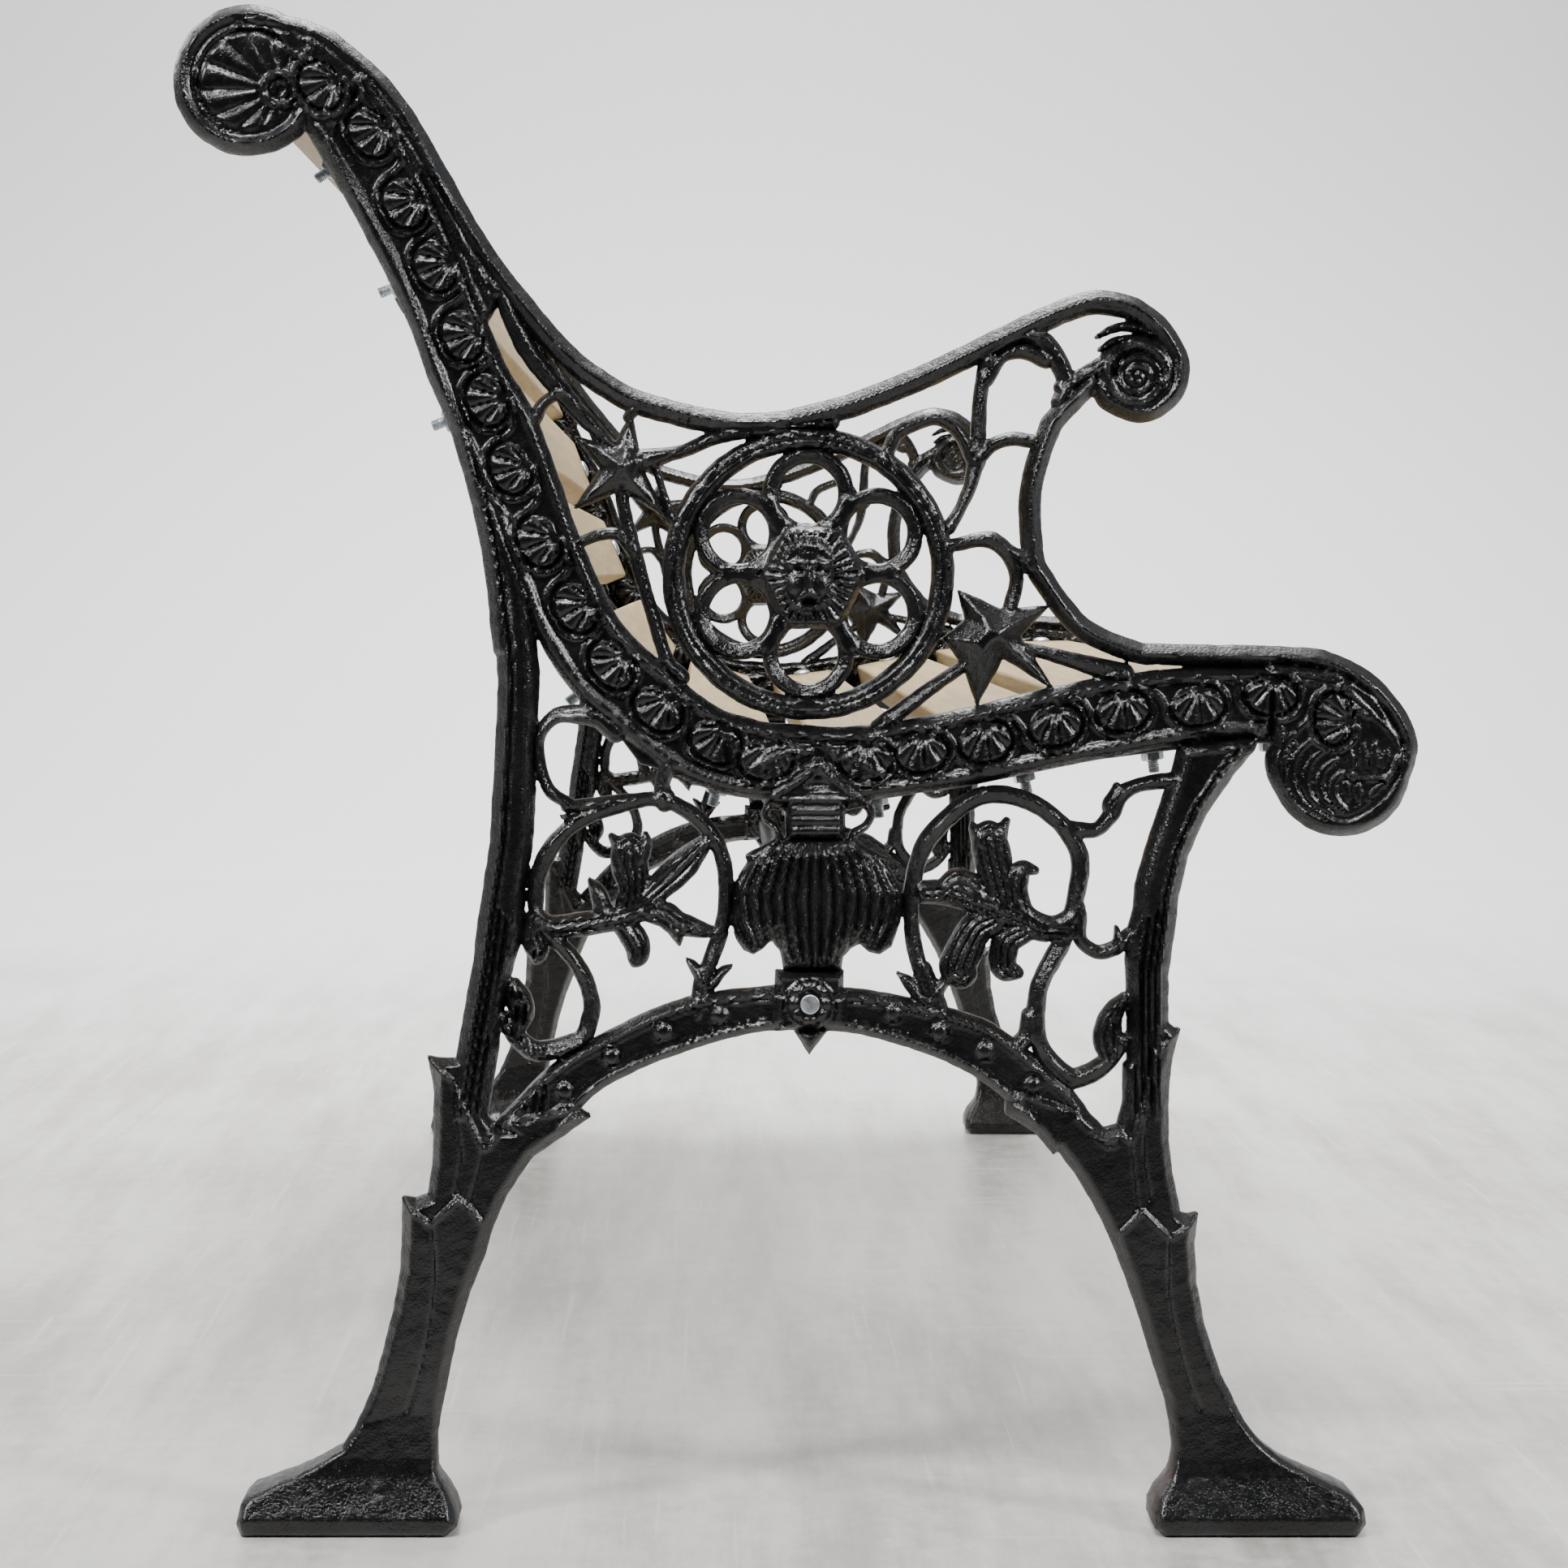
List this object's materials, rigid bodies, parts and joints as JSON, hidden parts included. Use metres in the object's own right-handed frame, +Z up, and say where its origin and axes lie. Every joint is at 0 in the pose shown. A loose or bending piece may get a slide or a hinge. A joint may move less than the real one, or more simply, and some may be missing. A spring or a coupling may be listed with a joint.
{
  "type": "garden bench",
  "caption": "Garden bench with openwork cast-iron ends, a scrolled back, arms and seat front, and pale wooden slats bolted along the back and seat.",
  "frame": {"origin": "middle of the bench on the floor, under the centre of its bounding box", "axes": "+Z up; a sitter faces -Y; X runs along the slats, with the sitter's right-hand end at -X"},
  "size_m": [1.22, 0.6206, 0.76],
  "materials": {
    "cast_iron": "gloss black enamel over a pebbly sand-cast surface",
    "slat_wood": "pale unvarnished softwood, fine straight grain with a few knots",
    "zinc_steel": "bright zinc plating"
  },
  "bodies": {
    "root": {"right_casting": "cast_iron", "left_casting": "cast_iron", "back_slat_1": "slat_wood", "back_slat_2": "slat_wood", "back_slat_3": "slat_wood", "back_slat_4": "slat_wood", "back_slat_5": "slat_wood", "back_slat_6": "slat_wood", "seat_slat_1": "slat_wood", "seat_slat_2": "slat_wood", "seat_slat_3": "slat_wood", "seat_slat_4": "slat_wood", "seat_slat_5": "slat_wood", "back_slat_1_bolt_right": "zinc_steel", "back_slat_1_nut_right": "zinc_steel", "back_slat_1_bolt_left": "zinc_steel", "back_slat_1_nut_left": "zinc_steel", "back_slat_2_bolt_right": "zinc_steel", "back_slat_2_nut_right": "zinc_steel", "back_slat_2_bolt_left": "zinc_steel", "back_slat_2_nut_left": "zinc_steel", "back_slat_3_bolt_right": "zinc_steel", "back_slat_3_nut_right": "zinc_steel", "back_slat_3_bolt_left": "zinc_steel", "back_slat_3_nut_left": "zinc_steel", "back_slat_4_bolt_right": "zinc_steel", "back_slat_4_nut_right": "zinc_steel", "back_slat_4_bolt_left": "zinc_steel", "back_slat_4_nut_left": "zinc_steel", "back_slat_5_bolt_right": "zinc_steel", "back_slat_5_nut_right": "zinc_steel", "back_slat_5_bolt_left": "zinc_steel", "back_slat_5_nut_left": "zinc_steel", "back_slat_6_bolt_right": "zinc_steel", "back_slat_6_nut_right": "zinc_steel", "back_slat_6_bolt_left": "zinc_steel", "back_slat_6_nut_left": "zinc_steel", "seat_slat_1_bolt_right": "zinc_steel", "seat_slat_1_nut_right": "zinc_steel", "seat_slat_1_bolt_left": "zinc_steel", "seat_slat_1_nut_left": "zinc_steel", "seat_slat_2_bolt_right": "zinc_steel", "seat_slat_2_nut_right": "zinc_steel", "seat_slat_2_bolt_left": "zinc_steel", "seat_slat_2_nut_left": "zinc_steel", "seat_slat_3_bolt_right": "zinc_steel", "seat_slat_3_nut_right": "zinc_steel", "seat_slat_3_bolt_left": "zinc_steel", "seat_slat_3_nut_left": "zinc_steel", "seat_slat_4_bolt_right": "zinc_steel", "seat_slat_4_nut_right": "zinc_steel", "seat_slat_4_bolt_left": "zinc_steel", "seat_slat_4_nut_left": "zinc_steel", "seat_slat_5_bolt_right": "zinc_steel", "seat_slat_5_nut_right": "zinc_steel", "seat_slat_5_bolt_left": "zinc_steel", "seat_slat_5_nut_left": "zinc_steel", "tie_screw_right": "zinc_steel", "tie_screw_left": "zinc_steel", "tie_rod": "cast_iron"}
  },
  "joints": []
}
